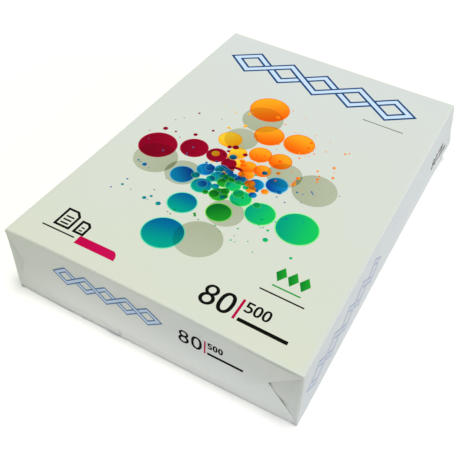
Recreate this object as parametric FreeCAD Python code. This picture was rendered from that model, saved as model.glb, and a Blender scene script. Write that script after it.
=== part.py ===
import FreeCAD, Part
import math
import os

# A sealed ream of copier paper, in mm.
# X runs across the pack, Y along it, Z up. The origin is the middle of the underside.
# The reader's end, where the upright print begins, is the one at -Y.

# The sheets inside
sheet_width = 210.0
sheet_length = 297.0
sheet_count = 500
sheet_caliper = 0.105

# The wrapper round them
wrap_thickness = 0.12
end_layers = 3  # tuck, bottom flap and top flap lie over each other
side_slack = 0.38
end_slack = 0.64
top_slack = 0.26
edge_radius = 1.2

# How the wrapper is folded shut at each end
flap_step = 0.35  # how far a folded layer stands off the layer beneath it
flap_edge_height = 9.0  # height of the top flap's cut edge
tuck_height = 29.5  # height of the point where both flaps meet over a side tuck
tuck_root_top = 2.0  # how far below the top edge a side tuck opens
tuck_root_bottom = 2.0
tuck_inset_right = 21.5
tuck_inset_left = 11.0
tuck_depth = 1.1  # how far a side tuck lies back at its inner point

# The lengthwise seam under the pack: the outer layer's cut edge, and its step
seam_x = -22.0
seam_step = 0.25

# The print
ink_film = 0.08

# The twisted ribbon in the title's place: start, middle height, length, number of
# cells, swing of a strand to each side, width of a strand and width of its outline
top_ribbon = dict(start=-82.3, middle=113.5, length=160.5, cells=5, swing=12.6, strand=7.6, line=1.9)
end_ribbon = dict(start=-67.6, middle=34.6, length=77.5, cells=5, swing=5.4, strand=3.6, line=0.85)
side_ribbon = dict(start=-138.0, middle=27.0, length=116.0, cells=5, swing=8.6, strand=5.0, line=0.9)

# The wheel of bubbles in the picture's place. Each arm is a row of discs that grow
# and curl away from the wheel's middle: (ink, radius of its first disc, discs).
wheel_x = -8.0
wheel_y = -24.0
wheel_stretch = 1.2  # how much longer the wheel is along the pack than across it
arms = [
    ("orange", 6.4, 4),
    ("yellow", 5.0, 3),
    ("crimson", 5.8, 4),
    ("blue", 5.0, 3),
    ("teal", 5.8, 4),
    ("leaf", 5.0, 3),
    ("green", 6.0, 4),
    ("blue", 4.6, 3),
    ("orange", 4.8, 4),
]
arm_first_angle = 62.0
arm_bend = 13.0  # degrees that an arm turns from one disc to the next
arm_start = 5.0  # from the wheel's middle to the edge of an arm's first disc
arm_gap = -1.5  # the discs of an arm lie this far over each other
arm_growth = 1.36
shade_arms = 4  # the grey arms behind, which bend the other way
shade_turn = 8.0
shade_discs = 2
shade_radius = 13.0
shade_start = 22.0
shade_gap = -6.0
shade_growth = 1.25
hub_ring = 8.0
hub_width = 2.6
least_width = 0.5  # what shows of a bubble is left out where it is narrower than this

# The grade block: rule between the numbers, and the bar under the small number
top_grade = dict(rule_x=52.6, rule_width=1.7, low=-136.0, high=-120.0, bar_x=56.0, bar_width=32.4, bar=2.6)
end_grade = dict(rule_x=42.0, rule_width=1.0, low=27.8, high=38.4, bar_x=44.2, bar_width=24.2, bar=1.9)
side_grade = dict(rule_x=111.1, rule_width=1.5, low=22.0, high=32.4, bar_x=114.0, bar_width=21.0, bar=1.7)

# The size block: two pages, each with a turned corner, a rule and a slanted tag
big_page = dict(x=-82.6, width=12.6, height=17.0, corner=4.0)
small_page = dict(x=-67.4, width=8.8, height=11.8, corner=2.8)
page_y = -129.6
page_line = 1.8
size_rule_x = -88.0
size_rule_width = 25.5
size_rule_y = -133.6
rule_line = 1.1
tag_x = -60.0
tag_y = -136.8
tag_width = 30.3
tag_height = 7.0
tag_round = 5.0  # how far the tag's rounded end sweeps back

# The small mark: a row of lozenges over two rules
lozenge_count = 3
lozenge_x = 71.2
lozenge_y = -90.8
lozenge_pitch = 8.0
lozenge_half_width = 3.7
lozenge_half_height = 6.3
mark_rule_width = 19.0
mark_rule_y = -101.6
address_rule_width = 29.7
address_rule_y = -107.9
note_rule_x = 64.0
note_rule_width = 34.0
note_rule_y = 88.0

pack_width = sheet_width + 2 * (wrap_thickness + side_slack)
pack_length = sheet_length + 2 * (end_layers * wrap_thickness + end_slack)
pack_height = sheet_count * sheet_caliper + 2 * wrap_thickness + top_slack
half_width = pack_width / 2
half_length = pack_length / 2
margin = 5.0  # how far a cutting shape reaches past the pack

X_AXIS = FreeCAD.Vector(1, 0, 0)
Y_AXIS = FreeCAD.Vector(0, 1, 0)
Z_AXIS = FreeCAD.Vector(0, 0, 1)
ORIGIN = FreeCAD.Vector(0, 0, 0)


def flat_face(points):
    """A face in the XY plane from its corner points (x, y)."""
    corners = [FreeCAD.Vector(x, y, 0) for x, y in points]
    return Part.Face(Part.makePolygon(corners + corners[:1]))


def end_cutter(points, depth):
    """A prism that cuts the near end face to a depth, from corner points (x, z)."""
    near = -half_length
    corners = [FreeCAD.Vector(x, near - margin, z) for x, z in points]
    face = Part.Face(Part.makePolygon(corners + corners[:1]))
    return face.extrude(FreeCAD.Vector(0, margin + depth, 0))


def tuck_cutter(side, inset):
    """The shallow three-sided hollow over one side tuck: flush at the pack's upright
    edge, and deepest at the point where the two flaps meet."""
    near = -half_length
    top = FreeCAD.Vector(side * half_width, near, pack_height - tuck_root_top)
    bottom = FreeCAD.Vector(side * half_width, near, tuck_root_bottom)
    point = FreeCAD.Vector(side * (half_width - inset), near, tuck_height)
    back = point + FreeCAD.Vector(0, tuck_depth, 0)
    out = FreeCAD.Vector(0, -flap_step, 0)
    faces = []
    for loop in ([top, bottom, back], [top + out, point + out, bottom + out]):
        faces.append(Part.Face(Part.makePolygon(loop + loop[:1])))
    for low, high, low_back, high_back in (
        (bottom + out, point + out, bottom, back),
        (point + out, top + out, back, top),
        (top + out, bottom + out, top, bottom),
    ):
        loop = [low, high, high_back, low_back]
        faces.append(Part.Face(Part.makePolygon(loop + loop[:1])))
    return Part.Solid(Part.Shell(faces))


def end_folds():
    """What the near end face loses: everything past the top flap steps back one
    layer, left of the seam one more step, and both side tucks are hollow."""
    right = half_width - tuck_inset_right
    left = -half_width + tuck_inset_left
    slant = tuck_height - flap_edge_height
    edge = half_width + margin
    under_flap = end_cutter(
        [
            (left, tuck_height),
            (left + slant, flap_edge_height),
            (right - slant, flap_edge_height),
            (right, tuck_height),
            (edge, tuck_root_bottom),
            (edge, -margin),
            (-edge, -margin),
            (-edge, tuck_root_bottom),
        ],
        flap_step,
    )
    seam_side = end_cutter(
        [(-edge, -margin), (seam_x, -margin), (seam_x, flap_edge_height), (-edge, flap_edge_height)],
        flap_step + seam_step,
    )
    return [under_flap, seam_side, tuck_cutter(1, tuck_inset_right), tuck_cutter(-1, tuck_inset_left)]


def wrapped_ream():
    """Sheets and wrapper as one closed block, with its folds and its seam."""
    block = Part.makeBox(
        pack_width, pack_length, pack_height, FreeCAD.Vector(-half_width, -half_length, 0)
    )
    folded = [edge for edge in block.Edges if abs(edge.tangentAt(edge.FirstParameter).z) < 0.5]
    block = block.makeFillet(edge_radius, folded)
    near_cuts = end_folds()
    far_cuts = [cut.mirror(ORIGIN, Y_AXIS) for cut in near_cuts]
    inner_panel = Part.makeBox(
        half_width + seam_x + margin,
        pack_length + 2 * margin,
        seam_step + margin,
        FreeCAD.Vector(-half_width - margin, -half_length - margin, -margin),
    )
    return block.cut(near_cuts + far_cuts + [inner_panel]).Solids[0]


def disc(x, y, radius):
    edge = Part.makeCircle(radius, FreeCAD.Vector(x, y, 0))
    return Part.Face(Part.Wire(edge))


def bar(x, y, width, height):
    """A plain rule from its lower left corner."""
    return flat_face([(x, y), (x + width, y), (x + width, y + height), (x, y + height)])


def between(outside, inside):
    """The face between an outline and the one inside it."""
    return Part.makeFace([outside.OuterWire, inside.OuterWire], "Part::FaceMakerBullseye")


def twisted_ribbon(ribbon):
    """Two strands that zigzag across each other and leave a lozenge in each cell:
    (outline faces, fill faces)."""
    half_cell = ribbon["length"] / ribbon["cells"] / 2
    swing = ribbon["swing"]
    middle = ribbon["middle"]
    steepness = math.hypot(half_cell, swing) / half_cell
    outer_reach = ribbon["strand"] / 2 * steepness  # half the strand, measured upright
    inner_reach = (ribbon["strand"] / 2 - ribbon["line"]) * steepness

    def chain(reach):
        """The outside of both strands together."""
        overhang = reach * half_cell / swing
        upper = [(ribbon["start"] - overhang, middle)]
        for cell in range(ribbon["cells"]):
            crest_x = ribbon["start"] + (2 * cell + 1) * half_cell
            upper.append((crest_x, middle + swing + reach))
            upper.append((crest_x + half_cell, middle + reach))
        upper[-1] = (ribbon["start"] + ribbon["length"] + overhang, middle)
        lower = [(x, 2 * middle - y) for x, y in upper[-2:0:-1]]
        return flat_face(upper + lower)

    def lozenge(cell, reach):
        """The opening that the strands leave in a cell."""
        tall = swing - reach
        wide = tall * half_cell / swing
        crest_x = ribbon["start"] + (2 * cell + 1) * half_cell
        return lozenge_face(crest_x, middle, wide, tall)

    outlines = [between(chain(outer_reach), chain(inner_reach))]
    for cell in range(ribbon["cells"]):
        outlines.append(between(lozenge(cell, inner_reach), lozenge(cell, outer_reach)))
    holes = [lozenge(cell, inner_reach).OuterWire for cell in range(ribbon["cells"])]
    fill = Part.makeFace([chain(inner_reach).OuterWire] + holes, "Part::FaceMakerBullseye")
    return outlines, [fill]


def lozenge_face(x, y, wide, tall):
    return flat_face([(x - wide, y), (x, y - tall), (x + wide, y), (x, y + tall)])


def arm(first_angle, bend, start, radius, count, growth, gap):
    """A curling row of growing discs, as a list of (x, y, radius)."""
    discs = []
    distance = start + radius
    for index in range(count):
        turn = math.radians(first_angle + bend * index)
        x = wheel_x + distance * math.cos(turn)
        y = wheel_y + distance * math.sin(turn) * wheel_stretch
        discs.append((x, y, radius))
        distance += radius * (1 + growth) + gap
        radius *= growth
    return discs


def wheel_of_bubbles():
    """The picture, lowest layer first: grey arms, coloured arms and a hub ring."""
    shapes = []
    for index in range(shade_arms):
        angle = arm_first_angle + shade_turn + 360.0 * (index + 0.5) / shade_arms
        row = arm(angle, -arm_bend, shade_start, shade_radius, shade_discs, shade_growth, shade_gap)
        shapes += [("grey", disc(*bubble)) for bubble in row]
    for index, (ink, radius, count) in enumerate(arms):
        angle = arm_first_angle + 360.0 * index / len(arms)
        row = arm(angle, arm_bend, arm_start, radius, count, arm_growth, arm_gap)
        shapes += [(ink, disc(*bubble)) for bubble in row]
    hub = between(disc(wheel_x, wheel_y, hub_ring), disc(wheel_x, wheel_y, hub_ring - hub_width))
    shapes.append(("crimson", hub))
    return shapes


def seen_parts(shapes):
    """The shapes of a picture, lowest first, with what lies under an upper one cut away."""
    seen = []
    above = []
    for ink, face in reversed(shapes):
        left = face.cut(above) if above else face
        seen += [(ink, part) for part in left.Faces if 2 * part.Area / part.Length > least_width]
        above.append(face)
    return seen


def ribbon_shapes(ribbon):
    outlines, fills = twisted_ribbon(ribbon)
    return [("blue", face) for face in outlines] + [("sky", face) for face in fills]


def grade_shapes(grade):
    height = grade["high"] - grade["low"]
    return [
        ("magenta", bar(grade["rule_x"], grade["low"], grade["rule_width"], height)),
        ("black", bar(grade["bar_x"], grade["low"], grade["bar_width"], grade["bar"])),
    ]


def page_outline(page):
    """A page with its upper right corner cut off at 45 degrees, drawn as a line."""
    corner_loss = 2 - math.sqrt(2)  # what the cut corner loses for each mm that the outline moves in

    def outline(inset):
        left = page["x"] + inset
        right = page["x"] + page["width"] - inset
        low = page_y + inset
        high = page_y + page["height"] - inset
        corner = page["corner"] - inset * corner_loss
        points = [(left, low), (right, low), (right, high - corner), (right - corner, high), (left, high)]
        return flat_face(points)

    return between(outline(0), outline(page_line))


def tag():
    """The tag: a plain bar whose right end sweeps back in an arc."""
    crown_share = math.sqrt(2) - 1  # of a quarter circle's way from its chord to its corner
    low_left = FreeCAD.Vector(tag_x, tag_y, 0)
    low_right = FreeCAD.Vector(tag_x + tag_width, tag_y, 0)
    high_right = FreeCAD.Vector(tag_x + tag_width - tag_round, tag_y + tag_height, 0)
    high_left = FreeCAD.Vector(tag_x, tag_y + tag_height, 0)
    corner = FreeCAD.Vector(low_right.x, high_right.y, 0)
    middle = (low_right + high_right) / 2
    crown = middle + (corner - middle) * crown_share
    edges = [
        Part.makeLine(low_left, low_right),
        Part.Arc(low_right, crown, high_right).toShape(),
        Part.makeLine(high_right, high_left),
        Part.makeLine(high_left, low_left),
    ]
    return Part.Face(Part.Wire(edges))


def size_shapes():
    return [
        ("black", page_outline(big_page)),
        ("black", page_outline(small_page)),
        ("black", bar(size_rule_x, size_rule_y, size_rule_width, rule_line)),
        ("magenta", tag()),
    ]


def mark_shapes():
    shapes = []
    for index in range(lozenge_count):
        x = lozenge_x + (index - (lozenge_count - 1) / 2) * lozenge_pitch
        shapes.append(("leaf", lozenge_face(x, lozenge_y, lozenge_half_width, lozenge_half_height)))
    for ink, middle, width, y in (
        ("leaf", lozenge_x, mark_rule_width, mark_rule_y),
        ("black", lozenge_x, address_rule_width, address_rule_y),
        ("grey", note_rule_x, note_rule_width, note_rule_y),
    ):
        shapes.append((ink, bar(middle - width / 2, y, width, rule_line)))
    return shapes


def place_on_top(film):
    placed = film.copy()
    placed.translate(Z_AXIS * pack_height)
    return [placed]


def place_on_ends(film):
    """Stand the film on the near end, and turn a copy of it round to the far end."""
    near = film.copy()
    near.rotate(ORIGIN, X_AXIS, 90)
    near.translate(Y_AXIS * -half_length)
    far = near.copy()
    far.rotate(ORIGIN, Z_AXIS, 180)
    return [near, far]


def place_on_sides(film):
    right = film.copy()
    right.rotate(ORIGIN, X_AXIS, 90)
    right.rotate(ORIGIN, Z_AXIS, 90)
    right.translate(X_AXIS * half_width)
    left = right.copy()
    left.rotate(ORIGIN, Z_AXIS, 180)
    return [right, left]


def printed_films():
    """All the print, as a dictionary of ink to its solids."""
    top_shapes = ribbon_shapes(top_ribbon) + seen_parts(wheel_of_bubbles()) + grade_shapes(top_grade)
    top_shapes += size_shapes() + mark_shapes()
    panels = (
        (place_on_top, top_shapes),
        (place_on_ends, ribbon_shapes(end_ribbon) + grade_shapes(end_grade)),
        (place_on_sides, ribbon_shapes(side_ribbon) + grade_shapes(side_grade)),
    )
    inks = {}
    for place, shapes in panels:
        for ink, face in shapes:
            film = face.extrude(Z_AXIS * ink_film)
            inks.setdefault(ink, []).extend(place(film))
    return inks


os.makedirs("parts", exist_ok=True)
wrapped_ream().exportStep("parts/wrapped_ream.step")
for ink, films in printed_films().items():
    Part.makeCompound(films).exportStep("parts/print_" + ink + ".step")
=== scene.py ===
# A sealed ream of copier paper: the wrapper folded as one sheet of paper, and its print
import math

import bmesh
import bpy
import numpy as np
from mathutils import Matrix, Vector
from mathutils.geometry import delaunay_2d_cdt


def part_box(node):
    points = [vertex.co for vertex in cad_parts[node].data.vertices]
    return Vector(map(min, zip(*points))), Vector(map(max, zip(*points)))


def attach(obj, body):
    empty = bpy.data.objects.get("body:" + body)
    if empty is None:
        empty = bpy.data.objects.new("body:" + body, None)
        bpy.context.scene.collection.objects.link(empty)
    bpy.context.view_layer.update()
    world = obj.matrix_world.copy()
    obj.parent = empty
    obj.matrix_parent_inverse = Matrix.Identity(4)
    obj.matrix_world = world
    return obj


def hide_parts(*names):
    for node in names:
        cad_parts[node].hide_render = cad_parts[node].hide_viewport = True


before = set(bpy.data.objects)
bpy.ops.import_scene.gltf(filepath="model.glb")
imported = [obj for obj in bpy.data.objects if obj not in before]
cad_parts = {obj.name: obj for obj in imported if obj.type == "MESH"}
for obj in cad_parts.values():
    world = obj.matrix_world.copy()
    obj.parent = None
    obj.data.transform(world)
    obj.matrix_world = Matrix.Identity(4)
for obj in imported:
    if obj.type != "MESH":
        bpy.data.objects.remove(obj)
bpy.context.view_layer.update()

metres = 0.001  # sizes below are in millimetres, and this takes them to Blender's metres

packLow, packHigh = (np.array(corner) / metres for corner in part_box("wrapped_ream"))
halfWidth = (packHigh[0] - packLow[0]) / 2
halfLength = (packHigh[1] - packLow[1]) / 2
packHeight = packHigh[2]
print("frame: a pack of", np.round(packHigh - packLow, 1), "mm")


# Small helpers for numbers and colours


def ease(value):
    # 0 below 0, 1 above 1, and a smooth step between them
    t = np.clip(value, 0.0, 1.0)
    return t * t * (3 - 2 * t)


def linear(hexColour):
    # sRGB hex to linear red, green and blue
    code = np.array([int(hexColour[i : i + 2], 16) for i in (1, 3, 5)]) / 255
    return np.where(code <= 0.04045, code / 12.92, ((code + 0.055) / 1.055) ** 2.4)


# How the real pack departs from a true block, in millimetres

settling = {
    # (x, y, z) shift of each corner of the block
    "corners": {
        "nearLeftBottom": (2.6, -1.4, 0.0),
        "nearRightBottom": (1.1, 0.5, 0.0),
        "farLeftBottom": (0.0, 0.0, 0.0),
        "farRightBottom": (0.4, 0.0, 0.0),
        "nearLeftTop": (-0.4, -0.6, -0.7),
        "nearRightTop": (-0.8, -0.6, -0.8),
        "farLeftTop": (0.6, 2.0, 0.2),
        "farRightTop": (-3.2, -0.8, -0.4),
    },
    "nearBow": 2.0,  # the near top edge arches up, most at bowX
    "bowX": -25.0,
    "bowReach": 110.0,
    "farRightBelly": 1.8,  # the far right corner bellies out half way down
    "cornerFoot": 2.0,  # and right at the corner it stands out low down
    "cornerHeight": 17.0,
    "cornerSpread": 9.0,
    "cornerReach": 24.0,
    "sideBelly": 0.5,
    "endFoot": 0.9,  # each end stands out most at footHeight, where the flaps lie double
    "footHeight": 8.0,
    "footSpread": 14.0,
    "endHollow": 0.8,  # and is hollow above that
    "hollowHeight": 40.0,
    "hollowSpread": 10.0,
    "wave": 0.22,  # slack paper on the top
    "waveAcross": 41.0,
    "waveAlong": 67.0,
}


def settle(points):
    # A smooth shift of every point by where it lies in the block: each corner's shift fades
    # in a straight line to the other corners, then a parabola across the near top edge, a
    # belly and a bell curve at the far right corner, a belly on each side, two bell curves up
    # each end, and two crossed sine waves over the top. The underside stays flat.
    x, y, z = points[..., 0], points[..., 1], points[..., 2]
    across, along, up = x / halfWidth, y / halfLength, z / packHeight
    shift = np.zeros_like(points)
    for name, corner in settling["corners"].items():
        sideShare = (1 + across * (1 if "Right" in name else -1)) / 2
        endShare = (1 + along * (1 if "far" in name else -1)) / 2
        heightShare = up if "Top" in name else 1 - up
        shift += (sideShare * endShare * heightShare)[..., None] * np.array(corner)
    belly = 4 * up * (1 - up)
    nearness = ease((-along - 0.3) / 0.7)
    arch = np.clip(1 - ((x - settling["bowX"]) / settling["bowReach"]) ** 2, 0, 1)
    farRight = ease((across + 1) / 2) * ease((along + 0.2) / 1.2)
    wave = np.sin(x / settling["waveAcross"] + y / settling["waveAlong"])
    wave = wave * np.cos(y / settling["waveAcross"] - 1.3 * x / settling["waveAlong"])
    openness = (1 - across**6) * (1 - along**10)
    foot = np.exp(-(((z - settling["footHeight"]) / settling["footSpread"]) ** 2))
    hollow = np.exp(-(((z - settling["hollowHeight"]) / settling["hollowSpread"]) ** 2)) * (1 - across**8)
    endShape = settling["endFoot"] * foot - settling["endHollow"] * hollow
    shift[..., 0] += farRight * settling["farRightBelly"] * belly
    bulge = np.exp(-(((z - settling["cornerHeight"]) / settling["cornerSpread"]) ** 2))
    bulge = bulge * ease((y - halfLength) / settling["cornerReach"] + 1) * ease(across * 5 - 4)
    shift[..., 0] += settling["cornerFoot"] * bulge
    shift[..., 0] += np.sign(x) * settling["sideBelly"] * belly * (1 - along**4) * ease(abs(across) * 5 - 4)
    shift[..., 1] += np.sign(y) * endShape * (1 - 0.6 * across**6) * ease(abs(along) * 8 - 7)
    shift[..., 2] += settling["nearBow"] * arch * nearness * up**2
    shift[..., 2] += settling["wave"] * wave * openness * up**6
    return points + shift


# Meshes


def gridFaces(rows, columns, start, turned):
    # Quads of a grid of points, as indices. A turned grid faces the other way.
    index = np.arange(rows * columns).reshape(rows, columns) + start
    corners = [index[:-1, :-1], index[:-1, 1:], index[1:, 1:], index[1:, :-1]]
    if turned:
        corners.reverse()
    return np.stack([corner.ravel() for corner in corners], axis=1)


def meshPiece(name, points, faces, material, join=0.0, painted=None):
    # One object at the origin from points in millimetres, with numbers painted on its points
    mesh = bpy.data.meshes.new(name)
    mesh.from_pydata((points * metres).tolist(), [], faces.tolist())
    for label, values in (painted or {}).items():
        layer = mesh.attributes.new(name=label, type="FLOAT", domain="POINT")
        layer.data.foreach_set("value", values.astype(np.float32))
    if join:
        form = bmesh.new()
        form.from_mesh(mesh)
        bmesh.ops.remove_doubles(form, verts=form.verts, dist=join * metres)
        bmesh.ops.dissolve_degenerate(form, edges=form.edges, dist=join * metres / 10)
        form.to_mesh(mesh)
        form.free()
    mesh.polygons.foreach_set("use_smooth", np.ones(len(mesh.polygons), bool))
    mesh.materials.append(material)
    mesh.update()
    piece = bpy.data.objects.new(name, mesh)
    bpy.context.scene.collection.objects.link(piece)
    return piece


# Materials


def addNode(tree, kind, settings, links):
    # One node: settings are its options or unlinked inputs, links its linked inputs
    node = tree.nodes.new(kind)
    for name, value in settings.items():
        if isinstance(name, int) or name in node.inputs:
            node.inputs[name].default_value = value
        else:
            setattr(node, name, value)
    for name, socket in links.items():
        tree.links.new(socket, node.inputs[name])
    return node


def newTree(name):
    material = bpy.data.materials.new(name)
    material.use_nodes = True
    material.node_tree.nodes.clear()
    return material, material.node_tree


coatedPaper = {
    "cool": "#d4dadb",  # its bluish and its yellowish white, mixed by a share painted on the mesh, which is painted light for the cool light and sheen on each panel, and by a slow mottling
    "warm": "#d6dbcc",  # on the mesh and by a slow mottling
    "roughness": 0.42,
    "gloss": 0.12,
    "inkGloss": 0.02,
    "mottle": 55.0,  # mm across one patch
    "fibre": 1.1,  # mm, drawn coarser than real fibre so that it shows
    "fibreDepth": 0.012,
    "buckle": 26.0,  # mm across the soft dents of slack paper
    "buckleDepth": 0.16,
}


def paperRelief(tree, place):
    # The soft dents of a slack wrapper, and the fine tooth of coated paper over them
    dents = addNode(tree, "ShaderNodeTexNoise",
        {"Scale": 1 / (coatedPaper["buckle"] * metres), "Detail": 3.0, "Roughness": 0.45}, {"Vector": place})
    soft = addNode(tree, "ShaderNodeBump",
        {"Strength": 1.0, "Distance": coatedPaper["buckleDepth"] * metres}, {"Height": dents.outputs[0]})
    tooth = addNode(tree, "ShaderNodeTexNoise",
        {"Scale": 1 / (coatedPaper["fibre"] * metres), "Detail": 4.0, "Roughness": 0.6}, {"Vector": place})
    fine = addNode(tree, "ShaderNodeBump",
        {"Strength": 1.0, "Distance": coatedPaper["fibreDepth"] * metres},
        {"Height": tooth.outputs[0], "Normal": soft.outputs[0]})
    return fine.outputs[0]


def laminatedWrappingPaper():
    # White wrapping paper with a thin film on it: off-white, softly mottled, satin; its tint and lightness carry
    # painted light, shade and highlights from the mesh
    material, tree = newTree("laminatedWrappingPaper")
    place = addNode(tree, "ShaderNodeTexCoord", {}, {}).outputs["Object"]
    mottle = addNode(tree, "ShaderNodeTexNoise",
        {"Scale": 1 / (coatedPaper["mottle"] * metres), "Detail": 5.0, "Roughness": 0.55}, {"Vector": place})
    # the painted light tint on the mesh, mixed with a slow random mottling
    paintedTint = addNode(tree, "ShaderNodeAttribute", {"attribute_name": "cool"}, {})
    share = addNode(tree, "ShaderNodeMix", {0: 0.35}, {2: paintedTint.outputs["Fac"], 3: mottle.outputs[0]})
    tone = addNode(tree, "ShaderNodeValToRGB", {}, {"Fac": share.outputs[0]})
    tone.color_ramp.elements[0].position = 0.15
    tone.color_ramp.elements[1].position = 0.85
    tone.color_ramp.elements[0].color = (*linear(coatedPaper["warm"]), 1)
    tone.color_ramp.elements[1].color = (*linear(coatedPaper["cool"]), 1)
    # lightness painted on the mesh: painted shade and painted highlight
    painted = addNode(tree, "ShaderNodeAttribute", {"attribute_name": "tone"}, {})
    shaded = addNode(tree, "ShaderNodeVectorMath", {"operation": "SCALE"},
        {"Vector": tone.outputs[0], "Scale": painted.outputs["Fac"]})
    shader = addNode(tree, "ShaderNodeBsdfPrincipled",
        {"Roughness": coatedPaper["roughness"], "Specular IOR Level": coatedPaper["gloss"]},
        {"Base Color": shaded.outputs[0], "Normal": paperRelief(tree, place)})
    addNode(tree, "ShaderNodeOutputMaterial", {}, {"Surface": shader.outputs[0]})
    return material


def printedInk(name):
    # Offset ink under the wrapper's film: its colour is painted on the mesh, with a faint grain
    material, tree = newTree(name)
    place = addNode(tree, "ShaderNodeTexCoord", {}, {}).outputs["Object"]
    colour = addNode(tree, "ShaderNodeAttribute", {"attribute_name": "inkColour"}, {})
    grain = addNode(tree, "ShaderNodeTexNoise",
        {"Scale": 1 / (coatedPaper["fibre"] * metres), "Detail": 3.0}, {"Vector": place})
    level = addNode(tree, "ShaderNodeMapRange",
        {"From Min": 0.3, "From Max": 0.7, "To Min": 0.97, "To Max": 1.03}, {"Value": grain.outputs[0]})
    tinted = addNode(tree, "ShaderNodeVectorMath", {"operation": "SCALE"},
        {"Vector": colour.outputs["Color"], "Scale": level.outputs[0]})
    shader = addNode(tree, "ShaderNodeBsdfPrincipled",
        {"Roughness": coatedPaper["roughness"], "Specular IOR Level": coatedPaper["inkGloss"]},
        {"Base Color": tinted.outputs[0], "Normal": paperRelief(tree, place)})
    addNode(tree, "ShaderNodeOutputMaterial", {}, {"Surface": shader.outputs[0]})
    return material


def stackedCopierPaper():
    # The cut sides of the sheets: bright white, with the fine lines of the sheets
    material, tree = newTree("stackedCopierPaper")
    place = addNode(tree, "ShaderNodeTexCoord", {}, {}).outputs["Object"]
    lines = addNode(tree, "ShaderNodeTexWave",
        {"wave_type": "BANDS", "bands_direction": "Z", "Scale": 0.314 / (0.4 * metres), "Distortion": 1.5},
        {"Vector": place})
    tone = addNode(tree, "ShaderNodeValToRGB", {}, {"Fac": lines.outputs[0]})
    tone.color_ramp.elements[0].color = (*linear("#d9dadb"), 1)
    tone.color_ramp.elements[1].color = (*linear("#f3f4f6"), 1)
    shader = addNode(tree, "ShaderNodeBsdfPrincipled", {"Roughness": 0.85}, {"Base Color": tone.outputs[0]})
    addNode(tree, "ShaderNodeOutputMaterial", {}, {"Surface": shader.outputs[0]})
    return material


# The wrapper: one sheet in a tube round the sheets, with its ends folded shut

wrapper = {
    "spacing": 3.0,  # of the mesh
    "paper": 0.12,
    "cornerRadius": {"bottomLeft": 1.3, "topLeft": 2.0, "topRight": 1.1, "bottomRight": 1.2},
    "arcSteps": 6,
    "endRadius": 1.0,
    "softLeft": 2.8,  # how far the near and far folds round over at the left
    "softRight": 1.0,
    "softSide": 2.6,  # and over the side tucks
    "seamX": -22.0,  # the outer layer's cut edge on the underside
    "seamOverlap": 25.0,
    "seamStep": 0.25,
}

endFold = {
    "flapEdge": 9.0,  # height of the top flap's cut edge
    "meetHeight": 29.5,  # where the flaps meet over a side tuck
    "insetRight": 21.5,
    "insetLeft": 11.0,
    "rootTop": 2.0,
    "rootBottom": 2.0,
    "underFlapTop": 33.0,
    "underFlapDepth": 0.4,  # how far the bottom flap lies behind the top flap
    "tuckDepth": 0.8,
    "tuckReach": 28.0,
    "tuckStep": 3.0,  # how far in from the upright fold it has sunk that deep
    "gape": 1.2,  # how much deeper it lies where the lower slanted edge gapes
    "gapeHeight": 16.0,
    "gapeTall": 4.0,
    "tipReach": 2.2,  # and round the tip
    "foldBead": 0.2,  # radius of the paper's turn along a slanted edge
    "lowerBead": 0.5,
    "foldUnder": 2.5,  # how far it runs on behind
    "lip": 0.1,  # how far the bottom flap's slanted edge stands off
    "lipWidth": 7.0,
    "groove": 0.55,  # depth of the pinched line under the near right top edge
    "grooveFrom": 50.0,
    "grooveHeight": 51.5,
    "grooveTall": 0.7,
    "bridge": 0.85,  # how far the top flap stands off where it bridges the seam's step
    "bridgeWidth": 9.0,
    "paintedLipHighlight": 0.09,  # painted highlight: how much lighter the bottom flap's slanted edge is painted
    "paintedTuckShade": 0.86,  # painted shade: the right tuck's paper is painted this much darker than the paper round it, for the shade in its recess
    # painted shade on the left tuck, for the shade in its recess
    "paintedLeftTuckShade": 0.93,
    "paintedFoldHighlight": 1.5,  # painted highlight: how much lighter the crisp right part of the top fold is painted, in units of the top flap's painted shade
    "paintedFlapShade": 0.94,  # painted shade: the top flap's paper is painted this much darker near its fold
    # the top flap's painted shade grows over this height up from its cut edge
    "shadeHeight": 26.0,
    "shadeFrom": 60.0,  # that painted shade has its full strength this far in from the left
}


def arcPath(centre, radius, start, end):
    # Points of a circle's arc in the (x, z) plane, angles in degrees
    turn = np.radians(np.linspace(start, end, wrapper["arcSteps"] + 1))
    return np.column_stack((centre[0] + radius * np.cos(turn), centre[1] + radius * np.sin(turn)))


def linePath(start, end):
    count = max(int(round(math.dist(start, end) / wrapper["spacing"])), 1)
    return np.linspace(start, end, count + 1)


def wrapperProfile():
    # The wrapper's path round the pack as (x, z): from the hidden inner edge on the underside
    # out to the left, up, over the top, down the right side and back under to the seam.
    radius = wrapper["cornerRadius"]
    inner = wrapper["seamStep"]
    left, right, top = -halfWidth, halfWidth, packHeight
    bl, tl, tr, br = (radius[key] for key in ("bottomLeft", "topLeft", "topRight", "bottomRight"))
    parts = [
        linePath((wrapper["seamX"] + wrapper["seamOverlap"], inner), (left + bl, inner)),
        arcPath((left + bl, inner + bl), bl, 270, 180),
        linePath((left, inner + bl), (left, top - tl)),
        arcPath((left + tl, top - tl), tl, 180, 90),
        linePath((left + tl, top), (right - tr, top)),
        arcPath((right - tr, top - tr), tr, 90, 0),
        linePath((right, top - tr), (right, br)),
        arcPath((right - br, br), br, 0, -90),
        linePath((right - br, 0.0), (wrapper["seamX"], 0.0)),
    ]
    path = [parts[0]]
    middles = []  # index of each corner arc's middle point
    count = len(parts[0])
    for number, part in enumerate(parts[1:]):
        path.append(part[1:])  # each part starts where the last one ended
        if number % 2 == 0:
            middles.append(count - 1 + wrapper["arcSteps"] // 2)
        count += len(part) - 1
    return np.vstack(path), middles


def foldRows(steps):
    # Sine and one minus cosine of a quarter turn, as columns
    turn = np.linspace(0, math.pi / 2, steps)[:, None]
    return np.sin(turn), 1 - np.cos(turn)


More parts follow.
